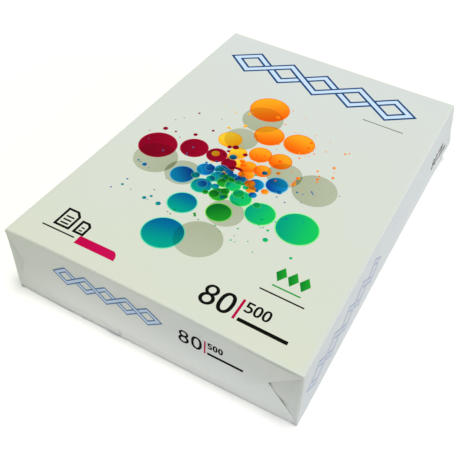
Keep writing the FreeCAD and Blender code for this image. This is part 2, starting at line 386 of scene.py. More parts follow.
def foldedEdge(panel, side, ramp, radius):
    # Adds the turned-under paper along one side edge of a flap. Its section is a half circle
    # from the edge, and then a flat run behind the flap. side is 0 for the first column and
    # -1 for the last, and ramp scales it row by row.
    edge = panel[:, side]
    inward = panel[:, 1 if side == 0 else -2] - edge
    inward = inward / np.maximum(np.linalg.norm(inward, axis=1, keepdims=True), 1e-9)
    back = np.array([0.0, 1.0, 0.0])
    bead = radius * ramp[:, None]
    columns = []
    for turn in np.radians([45, 90, 135, 180]):
        columns.append(edge - inward * bead * math.sin(turn) + back * bead * (1 - math.cos(turn)))
    columns.append(columns[-1] + inward * endFold["foldUnder"] * ramp[:, None])
    added = np.stack(columns, axis=1)
    if side == 0:
        return np.concatenate((added[:, ::-1], panel), axis=1)
    return np.concatenate((panel, added), axis=1)


def slantX(z, inset, heights):
    # Distance of a slanted fold from the pack's middle line at height z
    return np.interp(z, heights, [halfWidth - inset - (endFold["meetHeight"] - heights[0]), halfWidth - inset,
        halfWidth - 0.3])


def topFlap(rim):
    # Down from the top panel: a quarter turn at the edge, then a panel whose sides follow
    # the slanted folds. It stands off a little where it bridges the seam's step.
    radius = wrapper["endRadius"]
    share = (rim[:, 0] - rim[0, 0]) / (rim[-1, 0] - rim[0, 0])
    soft = wrapper["softLeft"] + (wrapper["softRight"] - wrapper["softLeft"]) * share
    soft = radius + (soft - radius) * ease(share * 12) * ease((1 - share) * 12)
    sine, drop = foldRows(7)
    turnPart = np.stack((
        np.broadcast_to(rim[:, 0], (7, len(rim))),
        -halfLength + radius * (1 - sine) + 0 * rim[:, 0],
        rim[:, 1] - soft * drop,
    ), axis=-1)
    start = rim[:, 1] - soft
    down = np.concatenate(([0.01, 0.02, 0.03, 0.04], np.linspace(0, 1, 19)[1:-1], [0.985, 1.0]))[:, None]
    z = start + (endFold["flapEdge"] - start) * down
    heights = [endFold["flapEdge"], endFold["meetHeight"], packHeight - endFold["rootTop"]]
    left = -slantX(z, endFold["insetLeft"], heights)
    right = slantX(z, endFold["insetRight"], heights)
    x = left + share * (right - left)
    beside = np.exp(-(((x - wrapper["seamX"] + 3.5) / (endFold["bridgeWidth"] / 2)) ** 2))
    low = ease((endFold["flapEdge"] + 7 - z) / 7)
    sunk = np.exp(-(((z - endFold["grooveHeight"]) / endFold["grooveTall"]) ** 2))
    sunk = sunk * ease((x - endFold["grooveFrom"]) / 40) * ease((halfWidth - 1 - x) / 5)
    y = -halfLength - endFold["bridge"] * beside * low + endFold["groove"] * sunk
    panel = np.concatenate((turnPart, np.stack((x, y, z), axis=-1)))
    ramp = ease((packHeight - panel[:, 0, 2] - 1) / 9)
    bead = endFold["foldBead"]
    return foldedEdge(foldedEdge(panel, 0, ramp, bead), -1, ramp, bead)


def bottomFlap(rim, fixedX, depth, inset, slantLast):
    # Up from the underside: a quarter turn, then a panel from the seam's edge at fixedX to
    # the slanted fold, which stands off as a lip half way up.
    side = -1 if rim[:, 0].min() < -halfWidth / 2 else 1
    radius = wrapper["endRadius"]
    sine, rise = foldRows(7)
    turnPart = np.stack((
        np.broadcast_to(rim[:, 0], (7, len(rim))),
        -halfLength + radius - (radius - depth) * sine + 0 * rim[:, 0],
        rim[:, 1] + radius * rise,
    ), axis=-1)
    start = rim[:, 1] + radius
    z = start + (endFold["underFlapTop"] - start) * np.linspace(0, 1, 17)[1:, None]
    share = abs(rim[:, 0] - fixedX) / abs(rim[:, 0] - fixedX).max()
    heights = [endFold["rootBottom"], endFold["meetHeight"], endFold["underFlapTop"]]
    slant = side * np.interp(z, heights, [halfWidth - 0.3, halfWidth - inset, halfWidth - inset - 2])
    x = fixedX + share * (slant - fixedX)
    height = ease((z - endFold["rootBottom"] - 4) / 12) * ease((endFold["meetHeight"] + 1 - z) / 7)
    near = ease(1 - abs(slant - x) / endFold["lipWidth"])
    y = -halfLength + depth - endFold["lip"] * inset / endFold["insetRight"] * height * near
    panel = np.concatenate((turnPart, np.stack((x, y, z), axis=-1)))
    ramp = ease((panel[:, 0, 2] - 1) / 4)
    return foldedEdge(panel, -1 if slantLast else 0, ramp, endFold["lowerBead"])


def sideTuck(rim, inset):
    # In from a long side: a quarter turn, then a panel that sinks back towards its middle
    side = np.sign(rim[0, 0])
    radius = wrapper["endRadius"]
    sine, in_ = foldRows(7)
    start = 0.06
    fades = ease((rim[:, 1] - 2) / 8) * ease((packHeight - 2 - rim[:, 1]) / 8)
    soft = radius + (wrapper["softSide"] - radius) * fades
    turnPart = np.stack((
        rim[:, 0] - side * soft * in_,
        -halfLength + radius - (radius - start) * sine + 0 * rim[:, 0],
        np.broadcast_to(rim[:, 1], (7, len(rim))),
    ), axis=-1)
    reach = endFold["tuckReach"] * inset / endFold["insetRight"]
    run = np.linspace(0, 1, 29)[1:, None]
    x = rim[:, 0] - side * (soft + reach * run)
    middle = endFold["meetHeight"]
    z = middle + (rim[:, 1] - middle) * (1 - 0.62 * run)
    tipX = side * (halfWidth - inset)
    tip = np.exp(-((x - tipX) ** 2 + (z - middle) ** 2) / endFold["tipReach"] ** 2)
    gape = np.exp(-(((z - endFold["gapeHeight"]) / endFold["gapeTall"]) ** 2)) * ease(run * 2)
    gape = np.maximum(gape * inset / endFold["insetRight"], tip)
    y = -halfLength + start + endFold["tuckDepth"] * ease(run * reach / endFold["tuckStep"])
    y = y + endFold["gape"] * gape
    return np.concatenate((turnPart, np.stack((x, y, z), axis=-1)))


wrapperPaint = {
    # painted light: share of the cool white on each panel, for the cool light and sheen on it, from its near or left
    # end to its far or right end
    "topCool": (0.0, 1.0),
    "sideCool": (0.75, 0.6),
    "sideEdge": 12.0,  # each long side is less cool this near to its near edge
    "sideEdgeCool": 0.35,
    "endCool": (0.1, 0.36),
    "sidePaintedShading": (0.978, 1.02),  # and how light the long sides are painted: painted shade at the near end, painted light at the far end
    "sideTurn": (-100.0, 50.0),  # where that change starts and ends
}


def panelPaint(points, onEnd):
    # The cool share (a painted light tint) and the lightness (painted shading) of points, by the panel that they lie on
    x, y = points[..., 0], points[..., 1]
    along = (y / halfLength + 1) / 2
    across = (x / halfWidth + 1) / 2
    onSide = ease((abs(x) - halfWidth + 3) / 3)
    start, end = wrapperPaint["sideTurn"]
    top = np.interp(along, (0, 1), wrapperPaint["topCool"])
    side = np.interp(along, (0, 1), wrapperPaint["sideCool"])
    edge = ease(1 - (y + halfLength) / wrapperPaint["sideEdge"])
    side = side + edge * (wrapperPaint["sideEdgeCool"] - side)
    cool = top + onSide * (side - top)
    # painted shading along each long side, darker near and lighter far
    tone = 1 + onSide * (np.interp(y, (start, end), wrapperPaint["sidePaintedShading"]) - 1)
    if onEnd:
        return np.interp(across, (0, 1), wrapperPaint["endCool"]), np.ones_like(x)
    return cool, tone


def makeWrapper():
    profile, middles = wrapperProfile()
    bottomLeft, topLeft, topRight, bottomRight = middles
    radius = wrapper["endRadius"]
    rows = int(round(2 * (halfLength - radius) / wrapper["spacing"]))
    along = np.linspace(-halfLength + radius, halfLength - radius, rows + 1)
    tube = np.stack((
        np.broadcast_to(profile[:, 0], (rows + 1, len(profile))),
        np.broadcast_to(along[:, None], (rows + 1, len(profile))),
        np.broadcast_to(profile[:, 1], (rows + 1, len(profile))),
    ), axis=-1)
    nearFlaps = [
        topFlap(profile[topLeft : topRight + 1]),
        sideTuck(profile[bottomLeft : topLeft + 1], endFold["insetLeft"]),
        sideTuck(profile[topRight : bottomRight + 1], endFold["insetRight"]),
        bottomFlap(profile[: bottomLeft + 1], profile[0, 0],
            endFold["underFlapDepth"] + wrapper["seamStep"], endFold["insetLeft"], True),
        bottomFlap(profile[bottomRight:], profile[-1, 0],
            endFold["underFlapDepth"], endFold["insetRight"], False),
    ]
    # how dark each flap's paper is painted, as painted shade
    paintedShades = [endFold["paintedFlapShade"], endFold["paintedLeftTuckShade"], endFold["paintedTuckShade"], 1.0, 1.0]
    points, faces, tones, cools, count = [], [], [], [], 0
    patches = [(tube, False, 1.0)]
    patches += [(flap, True, shade) for flap, shade in zip(nearFlaps, paintedShades)]
    patches += [(flap * (1, -1, 1), False, shade) for flap, shade in zip(nearFlaps, paintedShades)]
    for patch, turned, shade in patches:
        rows = np.arange(patch.shape[0])[:, None] + 0 * patch[..., 0]
        columns = np.arange(patch.shape[1]) + 0 * patch[..., 0]
        # painted shade, growing in over the first rows from each flap's fold; on the top flap it also fades towards its
        # cut edge and to the left
        paintedShading = ease(rows / 6)
        if abs(patch[..., 0]).min() < 3 and shade < 1:  # the top flap
            paintedShading = paintedShading * ease((patch[..., 2] - endFold["flapEdge"]) / endFold["shadeHeight"])
            paintedShading = paintedShading * (0.3 + 0.7 * ease((patch[..., 0] + halfWidth) / endFold["shadeFrom"]))
            # painted highlight along the crisp right part of the top flap's fold
            paintedShading = paintedShading - endFold["paintedFoldHighlight"] * ease(rows) * ease(6 - rows) * ease(patch[..., 0] / halfWidth)
        faces.append(gridFaces(*patch.shape[:2], count, turned))
        # painted highlight along the slanted edge of each right bottom flap
        lip = ease((columns + 0.5) / 2) * ease((7.5 - columns) / 2) * (patch[..., 0].min() > -30) * (shade == 1.0)
        points.append(settle(patch.reshape(-1, 3)))
        cool, tone = panelPaint(patch, patch is not tube)
        cools.append(cool.ravel())
        # the lightness painted on the mesh: the long sides' painted shading, each flap's painted shade, and the painted
        # highlights
        tones.append((tone - (1 - shade) * paintedShading + endFold["paintedLipHighlight"] * lip * ease((rows - 6) / 3)).ravel())
        count += patch.shape[0] * patch.shape[1]
    piece = meshPiece("wrapper", np.vstack(points), np.vstack(faces), laminatedWrappingPaper(), join=0.0005,
        painted={"tone": np.concatenate(tones), "cool": np.concatenate(cools)})
    wall = piece.modifiers.new("paper", "SOLIDIFY")
    wall.thickness = wrapper["paper"] * metres
    wall.offset = -1.0
    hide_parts("wrapped_ream")
    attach(piece, "root")
    print("wrapper:", len(piece.data.polygons), "faces")
    return piece


# The sheets inside

sheets = {"gap": 0.5, "endGap": 2.6, "spacing": 12.0, "corner": 0.6}


def makeSheets():
    # A closed block: a rounded rectangle carried along the pack, shut at both ends by rings
    # that shrink to the middle
    halfX, halfY = halfWidth - sheets["gap"], halfLength - sheets["endGap"]
    low, high = sheets["gap"] + wrapper["seamStep"], packHeight - sheets["gap"]
    corner = sheets["corner"]
    parts = []
    for x, z, start in ((halfX - corner, low + corner, -90), (halfX - corner, high - corner, 0),
            (-halfX + corner, high - corner, 90), (-halfX + corner, low + corner, 180)):
        turn = np.radians(np.linspace(start, start + 90, 4))
        parts.append(np.column_stack((x + corner * np.cos(turn), z + corner * np.sin(turn))))
    corners = np.vstack(parts + [parts[0][:1]])
    steps = np.linspace(0, 1, 8)[:-1, None, None]
    ring = (corners[:-1] + steps * (corners[1:] - corners[:-1])).transpose(1, 0, 2).reshape(-1, 2)
    ring = np.vstack((ring, ring[:1]))
    rows = int(2 * halfY / sheets["spacing"])
    along = np.concatenate((np.full(4, -halfY), np.linspace(-halfY, halfY, rows), np.full(4, halfY)))
    size = np.concatenate((np.linspace(0, 1, 5)[:-1], np.ones(rows), np.linspace(1, 0, 5)[1:]))
    middle = np.array([0.0, (low + high) / 2])
    section = middle + size[:, None, None] * (ring - middle)
    body = np.stack((
        section[..., 0], np.broadcast_to(along[:, None], section.shape[:2]), section[..., 1]
    ), axis=-1)
    faces = gridFaces(*body.shape[:2], 0, False)
    piece = meshPiece("sheets", settle(body.reshape(-1, 3)), faces, stackedCopierPaper(), join=0.0005)
    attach(piece, "root")
    print("sheets:", len(piece.data.polygons), "faces")
    return piece


# The print: shapes on each panel, in the panel's own u (to the right) and v (up)

inkTones = {
    # ink: its colour at one side of a shape and at the other
    "orange": ("#ff5f05", "#ffab1e"),
    "yellow": ("#ffa80c", "#ffd236"),
    "crimson": ("#960226", "#860122"),
    "blue": ("#063a94", "#0a8ac2"),
    "sky": ("#c3d9f2", "#c3d9f2"),
    "teal": ("#015f9a", "#02a48c"),
    "green": ("#02a080", "#14c85c"),
    "leaf": ("#04742a", "#22a82c"),
    "grey": ("#abb299", "#b2b9a3"),
    "magenta": ("#bf084b", "#c80c54"),
    "black": ("#0a0b09", "#0a0b09"),
}

rimTones = {
    # ink: the thin line round a bubble of it
    "orange": "#f47a10",
    "yellow": "#f8a818",
    "crimson": "#b0103c",
    "blue": "#74c8ee",
    "teal": "#6fe6bc",
    "green": "#86f28c",
    "leaf": "#7fe65a",
}

topRibbon = {"start": -82.3, "middle": 113.5, "length": 160.5, "cells": 5, "swing": 12.6, "strand": 7.6,
    "line": 1.9, "lineTone": "#15477e", "fillTone": "#cbe1fa"}
endRibbon = {"start": -67.6, "middle": 34.6, "length": 77.5, "cells": 5, "swing": 5.4, "strand": 3.6,
    "line": 0.85, "lineTone": "#50759a", "fillTone": "#bed0e0"}
# the side's ribbon has paler inks than the top's: painted sheen that washes out its print along the side
sideRibbon = {"start": -138.0, "middle": 27.0, "length": 116.0, "cells": 5, "swing": 8.6, "strand": 5.0,
    "line": 0.9, "lineTone": "#99a6b8", "fillTone": "#ccd3d8"}

wheel = {
    "x": -8.0,
    "y": -24.0,
    "stretch": 1.2,
    # ink, radius of the first disc, number of discs
    "arms": [("orange", 6.4, 4), ("yellow", 5.0, 3), ("crimson", 5.8, 4), ("blue", 5.0, 3), ("teal", 5.8, 4),
        ("leaf", 5.0, 3), ("green", 6.0, 4), ("blue", 4.6, 3), ("orange", 4.8, 4)],
    "firstAngle": 62.0,
    "bend": 13.0,
    "start": 5.0,
    "gap": -1.5,
    "growth": 1.36,
    "rim": 0.75,
    "smallestRimmed": 2.2,
    "shadeArms": 4,
    "shadeTurn": 8.0,
    "shadeDiscs": 2,
    "shadeRadius": 13.0,
    "shadeStart": 22.0,
    "shadeGap": -6.0,
    "shadeGrowth": 1.25,
    "hubRadius": 8.0,
    "hubWidth": 2.6,
    "overprint": 0.45,  # how much of a lower colour shows through an upper disc
    "burst": 90,  # small discs strewn over the hub
    "burstReach": 34.0,
    "burstSmallest": 0.8,
    "burstSpread": 3.6,  # how much bigger the biggest is
    "burstMix": 26.0,  # degrees that a disc's ink may come from beside it
    "burstOverprint": 0.6,
    "specks": 150,
    "speckFrom": 34.0,
    "speckReach": 56.0,
    "edgeX": 88.0,  # specks stay inside these
    "lowY": -84.0,
    "highY": 84.0,
}

topGrade = {"ruleX": 52.6, "rule": 1.7, "low": -136.0, "high": -120.0, "barX": 56.0, "barWidth": 32.4,
    "bar": 2.6, "bigX": 28.6, "bigStep": 11.6, "bigHalf": 5.05, "bigStroke": 2.4, "smallHigh": 8.3, "smallStroke": 1.5}
endGrade = {"ruleX": 42.0, "rule": 1.0, "low": 27.8, "high": 38.4, "barX": 44.2, "barWidth": 24.2,
    "bar": 1.9, "bigX": 24.2, "bigStep": 8.9, "bigHalf": 3.65, "bigStroke": 1.7, "smallHigh": 5.2, "smallStroke": 1.15}
sideGrade = {"ruleX": 111.1, "rule": 1.5, "low": 22.0, "high": 32.4, "barX": 114.0, "barWidth": 21.0,
    "bar": 1.7, "bigX": 95.5, "bigStep": 7.6, "bigHalf": 3.3, "bigStroke": 1.5, "smallHigh": 5.4, "smallStroke": 0.95}

smallStep = 0.69  # from one small figure to the next, and half its width, by its height
smallHalf = 0.315

ruleTone = "#b50f48"  # the upright rules are a deeper magenta than the tag

sizeMark = {
    "pages": [
        {"x": -82.6, "width": 12.6, "height": 17.0, "corner": 4.0, "textLines": 3, "textLine": 1.3},
        {"x": -67.4, "width": 8.8, "height": 11.8, "corner": 2.8, "textLines": 2, "textLine": 1.1},
    ],
    "y": -129.6,
    "line": 1.8,
    "ruleX": -88.0,
    "ruleWidth": 25.5,
    "ruleY": -133.6,
    "rule": 1.1,
    "tagX": -60.0,
    "tagY": -136.8,
    "tagWidth": 30.3,
    "tagHeight": 7.0,
    "tagRound": 5.0,
}

smallMark = {
    "x": 71.2,
    "y": -90.8,
    "count": 3,
    "pitch": 8.0,
    "halfWidth": 3.7,
    "halfHeight": 6.3,
    "markRule": 19.0,
    "markRuleY": -101.6,
    "addressRule": 29.7,
    "addressRuleY": -107.9,
    "noteX": 64.0,
    "noteRule": 34.0,
    "noteRuleY": 88.0,
    "rule": 1.1,
}

film = {"thickness": 0.06, "spacing": 6.0}


def gradient(tones, centre, reach, angle):
    # A paint that runs from one tone to the other across a shape
    first, last = linear(tones[0]), linear(tones[1])
    direction = np.array([math.cos(math.radians(angle)), math.sin(math.radians(angle))])

    def paint(points):
        share = ease((points - centre) @ direction / (2 * reach) + 0.5)
        return first + share[..., None] * (last - first)

    return paint


def plain(tone):
    # A paint of one even tone
    colour = linear(tone)
    return lambda points: np.broadcast_to(colour, points.shape[:-1] + (3,))


def insidePolygon(points, loop):
    # Even-odd test of many points against one outline, counting edges crossed to the right
    inside = np.zeros(len(points), bool)
    low, high = loop.min(0), loop.max(0)
    close = np.flatnonzero(((points >= low) & (points <= high)).all(1))
    if not len(close):
        return inside
    x, y = points[close, 0][:, None], points[close, 1][:, None]
    x0, y0 = loop.T
    x1, y1 = np.roll(loop, -1, axis=0).T
    spans = (y0 <= y) != (y1 <= y)
    height = np.where(y1 == y0, 1, y1 - y0)
    inside[close] = (spans & (x < x0 + (y - y0) / height * (x1 - x0))).sum(1) % 2 == 1
    return inside


def shape(ink, solids, holes=(), paint=None, overprint=0.0):
    # A printed shape: the union of its outlines, without its holes
    solids, holes = [np.asarray(loop, float) for loop in solids], [np.asarray(loop, float) for loop in holes]
    if paint is None:
        everything = np.vstack(solids)
        middle = (everything.min(0) + everything.max(0)) / 2
        paint = gradient(inkTones[ink], middle, np.ptp(everything, axis=0).max() / 2, 20)
    return {"ink": ink, "solids": solids, "holes": holes, "paint": paint, "overprint": overprint}


def circle(x, y, radius):
    count = int(np.clip(radius * 7, 16, 96))
    turn = np.linspace(0, 2 * math.pi, count, endpoint=False)
    return np.column_stack((x + radius * np.cos(turn), y + radius * np.sin(turn)))


def ellipse(x, y, halfU, halfV, power=2.0):
    # A superellipse: a higher power gives squarer shoulders
    turn = np.linspace(0, 2 * math.pi, 56, endpoint=False)
    cosine, sine = np.cos(turn), np.sin(turn)
    return np.column_stack((
        x + halfU * np.sign(cosine) * abs(cosine) ** (2 / power),
        y + halfV * np.sign(sine) * abs(sine) ** (2 / power),
    ))


def rectangle(x, y, width, height):
    return np.array([(x, y), (x + width, y), (x + width, y + height), (x, y + height)])


def lozenge(x, y, wide, tall):
    return np.array([(x - wide, y), (x, y - tall), (x + wide, y), (x, y + tall)])


def ribbonShapes(ribbon):
    # Two strands that zigzag across each other. The outline is what both strands cover less
    # what their inner widths cover, and at each crossing the upper strand's lines run through.
    halfCell = ribbon["length"] / ribbon["cells"] / 2
    swing, middle, start = ribbon["swing"], ribbon["middle"], ribbon["start"]
    slope = math.atan2(swing, halfCell)
    outer = ribbon["strand"] / 2 / math.cos(slope)
    inner = (ribbon["strand"] / 2 - ribbon["line"]) / math.cos(slope)

    def chain(reach):
        crests = start + halfCell * (2 * np.arange(ribbon["cells"]) + 1)
        upper = np.empty((2 * ribbon["cells"] + 1, 2))
        upper[1::2] = np.column_stack((crests, np.full(len(crests), middle + swing + reach)))
        upper[2::2] = np.column_stack((crests + halfCell, np.full(len(crests), middle + reach)))
        upper[0] = start - reach * halfCell / swing, middle
        upper[-1] = start + ribbon["length"] + reach * halfCell / swing, middle
        return np.vstack((upper, upper[-2:0:-1] * (1, -1) + (0, 2 * middle)))

    def openings(reach):
        tall = swing - reach
        return [lozenge(start + halfCell * (2 * cell + 1), middle, tall * halfCell / swing, tall)
            for cell in range(ribbon["cells"])]

    line, fill = plain(ribbon["lineTone"]), plain(ribbon["fillTone"])
    shapes = [
        shape("blue", [chain(outer)], openings(outer), paint=line),
        shape("sky", [chain(inner)], openings(inner), paint=fill),
    ]
    half = ribbon["strand"] / 2
    offset = half - ribbon["line"] / 2
    for crossing in range(1, ribbon["cells"]):
        rise = 1 if crossing % 2 else -1  # which strand lies on top
        forward = np.array([math.cos(slope), rise * math.sin(slope)])
        sideways = np.array([-forward[1], forward[0]])
        centre = np.array([start + 2 * halfCell * crossing, middle])
        for way in (1, -1):
            reach = np.array([-half, half]) - way * rise * offset * math.cos(2 * slope)
            reach = np.sort(reach / math.sin(2 * slope))
            ends = centre + way * offset * sideways + reach[:, None] * forward
            across = ribbon["line"] / 2 * sideways
            loop = [ends[0] - across, ends[1] - across, ends[1] + across, ends[0] + across]
            shapes.append(shape("blue", [loop], paint=line))
    return shapes


def armDiscs(angle, bend, start, radius, count, growth, gap):
    # Discs that grow along a curling row: (x, y, radius, angle)
    discs = []
    distance = start + radius
    for index in range(count):
        turn = math.radians(angle + bend * index)
        discs.append((wheel["x"] + distance * math.cos(turn),
            wheel["y"] + distance * math.sin(turn) * wheel["stretch"], radius, angle + bend * index))
        distance += radius * (1 + growth) + gap
        radius *= growth
    return discs


def disc(ink, x, y, radius, angle, overprint):
    # A disc with a gradient, and a thin bright line round it where it is big enough
    shapes = []
    inner = radius
    if ink in rimTones and radius > wheel["smallestRimmed"]:
        inner = radius - wheel["rim"] * min(radius / 9, 1)
        rim = plain(rimTones[ink])
        shapes.append(shape(ink, [circle(x, y, radius)], [circle(x, y, inner)], paint=rim, overprint=overprint))
    paint = gradient(inkTones[ink], (x, y), radius, angle)
    shapes.append(shape(ink, [circle(x, y, inner)], paint=paint, overprint=overprint))
    return shapes


def wheelShapes():
    # Lowest first: the grey arms, then each coloured arm, the hub and the small discs
    shapes = []
    for index in range(wheel["shadeArms"]):
        angle = wheel["firstAngle"] + wheel["shadeTurn"] + 360 * (index + 0.5) / wheel["shadeArms"]
        row = armDiscs(angle, -wheel["bend"], wheel["shadeStart"], wheel["shadeRadius"], wheel["shadeDiscs"],
            wheel["shadeGrowth"], wheel["shadeGap"])
        for x, y, size, turn in row:
            shapes += disc("grey", x, y, size, turn, 0.9)
    for index, (ink, radius, count) in enumerate(wheel["arms"]):
        angle = wheel["firstAngle"] + 360 * index / len(wheel["arms"])
        row = armDiscs(angle, wheel["bend"], wheel["start"], radius, count, wheel["growth"], wheel["gap"])
        for x, y, size, turn in row:
            shapes += disc(ink, x, y, size, turn + 25, wheel["overprint"])
    hub = [circle(wheel["x"], wheel["y"], wheel["hubRadius"])]
    hole = [circle(wheel["x"], wheel["y"], wheel["hubRadius"] - wheel["hubWidth"])]
    shapes.append(shape("crimson", hub, hole, overprint=wheel["overprint"]))
    return shapes + burstShapes() + speckShapes()


def strewn(angle, distance, size, sector, overprint):
    # Small discs at each angle and distance from the hub, in the ink of the arm that the
    # sector names in degrees
    x = wheel["x"] + distance * np.cos(np.radians(angle))
    y = wheel["y"] + distance * np.sin(np.radians(angle)) * wheel["stretch"]
    arm = (sector % 360 / 360 * len(wheel["arms"])).astype(int)
    open_ = (abs(x) < wheel["edgeX"]) & (y > wheel["lowY"]) & (y < wheel["highY"])
    shapes = []
    for index in np.flatnonzero(open_):
        ink = wheel["arms"][arm[index]][0]
        shapes += disc(ink, x[index], y[index], size[index], angle[index], overprint)
    return shapes


def burstShapes():
    # Discs crowded over the hub, in the inks of the arms near them
    draw = np.random.default_rng(4)
    angle = draw.uniform(0, 360, wheel["burst"])
    distance = wheel["burstReach"] * draw.beta(1.3, 1.9, wheel["burst"])
    size = wheel["burstSmallest"] + wheel["burstSpread"] * draw.random(wheel["burst"]) ** 1.8
    sector = angle + draw.normal(0, wheel["burstMix"], wheel["burst"]) - wheel["firstAngle"] - 0.3 * distance + 20
    return strewn(angle, distance, size, sector, wheel["burstOverprint"])


def speckShapes():
    # Small dots further out, in the ink of the arm that they lie beside
    draw = np.random.default_rng(11)
    angle = draw.uniform(0, 360, wheel["specks"])
    distance = wheel["speckFrom"] + wheel["speckReach"] * draw.beta(1.6, 2.2, wheel["specks"])
    size = 0.45 + 1.6 * draw.random(wheel["specks"]) ** 3
    return strewn(angle, distance, size, angle - wheel["firstAngle"] - 0.25 * distance + 25, 0.2)


def digit(figure, x, y, height, half, stroke):
    # Plain upright figures of a half width: 0 is a ring, 8 two rings, 5 two bars and a bowl
    middle = x + half
    if figure == "0":
        outside = ellipse(middle, y + height / 2, half, height / 2, 2.35)
        inside = ellipse(middle, y + height / 2, half - stroke, height / 2 - stroke * 0.85, 2.2)
        return shape("black", [outside], [inside])
    if figure == "8":
        upper, lower = height * 0.265, height * 0.29
        outside = [ellipse(middle, y + height - upper, half * 0.9, upper), ellipse(middle, y + lower, half, lower)]
        inside = [
            ellipse(middle, y + height - upper, half * 0.9 - stroke * 0.92, upper - stroke * 0.74),
            ellipse(middle, y + lower, half - stroke, lower - stroke * 0.8),
        ]
        return shape("black", outside, inside)
    turn = np.radians(np.linspace(118, -142, 40))
    bowl = height * 0.32
    centre = (middle - half * 0.14, y + bowl)
    outer = np.column_stack((centre[0] + half * 1.14 * np.cos(turn), centre[1] + bowl * np.sin(turn)))
    inner = np.column_stack((centre[0] + (half * 1.14 - stroke) * np.cos(turn),
        centre[1] + (bowl - stroke * 0.9) * np.sin(turn)))
    stemX = x + half * 0.16
    stem = rectangle(stemX, y + height * 0.47, stroke * 0.92, height * 0.53)
    flag = rectangle(stemX, y + height - stroke * 0.9, half * 1.72, stroke * 0.9)
    return shape("black", [np.vstack((outer, inner[::-1])), stem, flag])


def gradeShapes(grade):
    # A big number, an upright rule, a small number and a bar under it
    height, small = grade["high"] - grade["low"], grade["smallHigh"]
    shapes = []
    for index, figure in enumerate("80"):
        x = grade["bigX"] + grade["bigStep"] * index
        shapes.append(digit(figure, x, grade["low"], height, grade["bigHalf"], grade["bigStroke"]))
    for index, figure in enumerate("500"):
        x = grade["barX"] + smallStep * small * index
        shapes.append(digit(figure, x, grade["high"] - small, small, smallHalf * small, grade["smallStroke"]))
    rule = rectangle(grade["ruleX"], grade["low"], grade["rule"], height)
    shapes.append(shape("magenta", [rule], paint=plain(ruleTone)))
    shapes.append(shape("black", [rectangle(grade["barX"], grade["low"], grade["barWidth"], grade["bar"])]))
    return shapes


def pageShapes(page):
    # A page with its corner turned down, drawn as a line, and lines of text as bars
    def outline(inset):
        left, low = page["x"] + inset, sizeMark["y"] + inset
        right = page["x"] + page["width"] - inset
        high = sizeMark["y"] + page["height"] - inset
        corner = page["corner"] - inset * (2 - math.sqrt(2))
        return [(left, low), (right, low), (right, high - corner), (right - corner, high), (left, high)]

    margin = sizeMark["line"] + 1.4
    step = (page["height"] - page["corner"] - sizeMark["line"]) / (page["textLines"] + 0.6)
    lines = [rectangle(page["x"] + margin, sizeMark["y"] + step * (index + 1), page["width"] - 2 * margin,
        page["textLine"]) for index in range(page["textLines"])]
    return [shape("black", [outline(0)], [outline(sizeMark["line"])]), shape("black", lines)]


def sizeShapes():
    # Two pages, a rule, and a tag whose end sweeps back in an arc
    right = sizeMark["tagX"] + sizeMark["tagWidth"]
    high = sizeMark["tagY"] + sizeMark["tagHeight"]
    turn = np.linspace(0, math.pi / 2, 16)
    sweep = np.column_stack((
        right - sizeMark["tagRound"] * (1 - np.cos(turn)),
        sizeMark["tagY"] + sizeMark["tagHeight"] * np.sin(turn),
    ))
    tag = np.vstack(([(sizeMark["tagX"], sizeMark["tagY"])], sweep, [(sizeMark["tagX"], high)]))
    rule = rectangle(sizeMark["ruleX"], sizeMark["ruleY"], sizeMark["ruleWidth"], sizeMark["rule"])
    pages = [each for page in sizeMark["pages"] for each in pageShapes(page)]
    return pages + [shape("black", [rule]), shape("magenta", [tag])]


def smallMarkShapes():
    # A row of lozenges over two rules, and a grey rule under the ribbon
    shapes = []
    for index in range(smallMark["count"]):
        x = smallMark["x"] + (index - (smallMark["count"] - 1) / 2) * smallMark["pitch"]
        loop = lozenge(x, smallMark["y"], smallMark["halfWidth"], smallMark["halfHeight"])
        shapes.append(shape("leaf", [loop]))
    for ink, middle, width, y, tone in (
        ("leaf", smallMark["x"], smallMark["markRule"], smallMark["markRuleY"], "#1f9a3c"),
        ("black", smallMark["x"], smallMark["addressRule"], smallMark["addressRuleY"], "#151514"),
        ("grey", smallMark["noteX"], smallMark["noteRule"], smallMark["noteRuleY"], "#7f857a"),
    ):
        rule = rectangle(middle - width / 2, y, width, smallMark["rule"])
        shapes.append(shape(ink, [rule], paint=plain(tone)))
    return shapes


# Where a panel's (u, v) lies on the pack, a given height off its face
panelPlaces = {
    "top": lambda u, v, off: (u, v, packHeight + off),
    "nearEnd": lambda u, v, off: (u, -halfLength - off, v),
    "farEnd": lambda u, v, off: (-u, halfLength + off, v),
    "rightSide": lambda u, v, off: (halfWidth + off, u, v),
    "leftSide": lambda u, v, off: (-halfWidth - off, -u, v),
}


